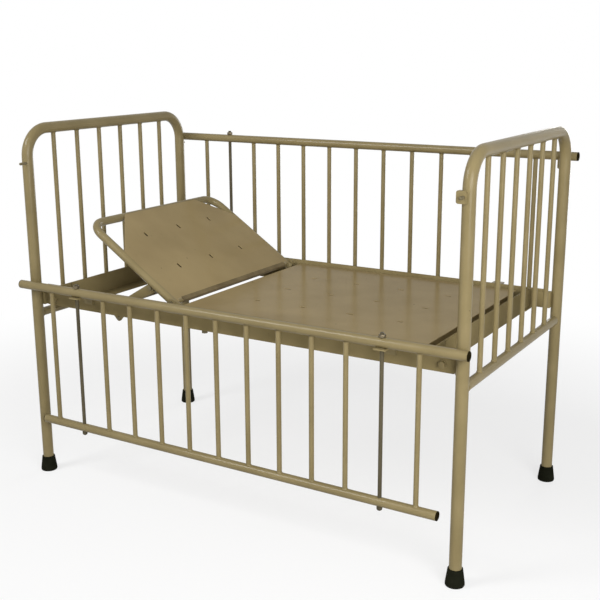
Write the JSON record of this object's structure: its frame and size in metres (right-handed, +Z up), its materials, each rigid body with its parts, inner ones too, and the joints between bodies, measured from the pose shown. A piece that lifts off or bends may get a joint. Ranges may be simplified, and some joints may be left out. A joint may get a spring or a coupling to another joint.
{
  "type": "pediatric hospital cot",
  "caption": "Child's hospital bed of painted steel tube with barred ends, a slotted steel deck, a propped backrest and barred sides that slide down on rods",
  "frame": {"origin": "on the floor, midway between the four feet", "axes": "+X from the head end to the foot end, +Y from the lowered side to the raised side, +Z up"},
  "size_m": [1.42, 0.811, 1.07],
  "materials": {
    "enamel": "glossy khaki-beige stove enamel, a little worn",
    "rod_steel": "dull dark steel, handled smooth",
    "plated_steel": "zinc plating gone dull grey",
    "rubber": "moulded black rubber, matt",
    "black_plastic": "moulded black plug, satin"
  },
  "bodies": {
    "bed": {"head_end_tube": "enamel", "foot_end_tube": "enamel", "head_end_grille": "enamel", "foot_end_grille": "enamel", "head_near_foot": "rubber", "head_far_foot": "rubber", "foot_near_foot": "rubber", "foot_far_foot": "rubber", "near_side_angle": "enamel", "far_side_angle": "enamel", "head_end_angle": "enamel", "foot_end_angle": "enamel", "head_near_bracket": "enamel", "head_far_bracket": "enamel", "foot_near_bracket": "enamel", "foot_far_bracket": "enamel", "deck_sheet": "enamel", "near_hinge_lug": "enamel", "far_hinge_lug": "enamel", "near_ratchet": "enamel", "far_ratchet": "enamel", "head_near_guide_tab": "enamel", "head_far_guide_tab": "enamel", "foot_near_guide_tab": "enamel", "foot_far_guide_tab": "enamel", "foot_near_catch_plate": "enamel", "foot_far_catch_plate": "enamel"},
    "backrest": {"backrest_tube": "enamel", "backrest_sheet": "enamel", "hinge_rod": "rod_steel"},
    "prop": {"prop_frame": "enamel", "near_prop_bolt": "plated_steel", "far_prop_bolt": "plated_steel"},
    "near_side": {"near_side_top_rail": "enamel", "near_side_grille": "enamel", "near_side_head_rod": "rod_steel", "near_side_head_nut": "plated_steel", "near_side_head_top_plug": "black_plastic", "near_side_head_lower_plug": "black_plastic", "near_side_foot_rod": "rod_steel", "near_side_foot_nut": "plated_steel", "near_side_foot_top_plug": "black_plastic", "near_side_foot_lower_plug": "black_plastic"},
    "far_side": {"far_side_top_rail": "enamel", "far_side_grille": "enamel", "far_side_head_rod": "rod_steel", "far_side_head_nut": "plated_steel", "far_side_head_top_plug": "black_plastic", "far_side_head_lower_plug": "black_plastic", "far_side_foot_rod": "rod_steel", "far_side_foot_nut": "plated_steel", "far_side_foot_top_plug": "black_plastic", "far_side_foot_lower_plug": "black_plastic"},
    "head_near_pin": {"head_near_catch_pin": "rod_steel"},
    "head_far_pin": {"head_far_catch_pin": "rod_steel"},
    "foot_near_pin": {"foot_near_catch_pin": "rod_steel"},
    "foot_far_pin": {"foot_far_catch_pin": "rod_steel"}
  },
  "joints": [
    {"name": "near_side_slide", "type": "slide", "parent": "bed", "child": "near_side", "axis": [0, 0, 1], "range_m": [0, 0.378]},
    {"name": "far_side_slide", "type": "slide", "parent": "bed", "child": "far_side", "axis": [0, 0, 1], "range_m": [-0.378, 0]},
    {"name": "backrest_hinge", "type": "hinge", "parent": "bed", "child": "backrest", "pos_m": [-0.204, 0, 0.589], "axis": [0, 1, 0], "range_deg": [-33.8, 26.2]},
    {"name": "prop_hinge", "type": "hinge", "parent": "backrest", "child": "prop", "pos_m": [-0.28914, 0, 0.62], "axis": [0, 1, 0], "range_deg": [-45.2, 58.1]},
    {"name": "head_near_pin_slide", "type": "slide", "parent": "bed", "child": "head_near_pin", "axis": [0, -1, 0], "range_m": [-0.02, 0]},
    {"name": "head_far_pin_slide", "type": "slide", "parent": "bed", "child": "head_far_pin", "axis": [0, 1, 0], "range_m": [0, 0.02]},
    {"name": "foot_near_pin_slide", "type": "slide", "parent": "bed", "child": "foot_near_pin", "axis": [0, -1, 0], "range_m": [-0.02, 0]},
    {"name": "foot_far_pin_slide", "type": "slide", "parent": "bed", "child": "foot_far_pin", "axis": [0, 1, 0], "range_m": [0, 0.02]}
  ],
  "couplings": [
    {"joint": "prop_hinge", "follows": "backrest_hinge", "ratio": -1.705},
    {"joint": "head_near_pin_slide", "follows": "near_side_slide", "ratio": -0.0529},
    {"joint": "head_far_pin_slide", "follows": "far_side_slide", "ratio": -0.0529},
    {"joint": "foot_near_pin_slide", "follows": "near_side_slide", "ratio": -0.0529},
    {"joint": "foot_far_pin_slide", "follows": "far_side_slide", "ratio": -0.0529}
  ]
}
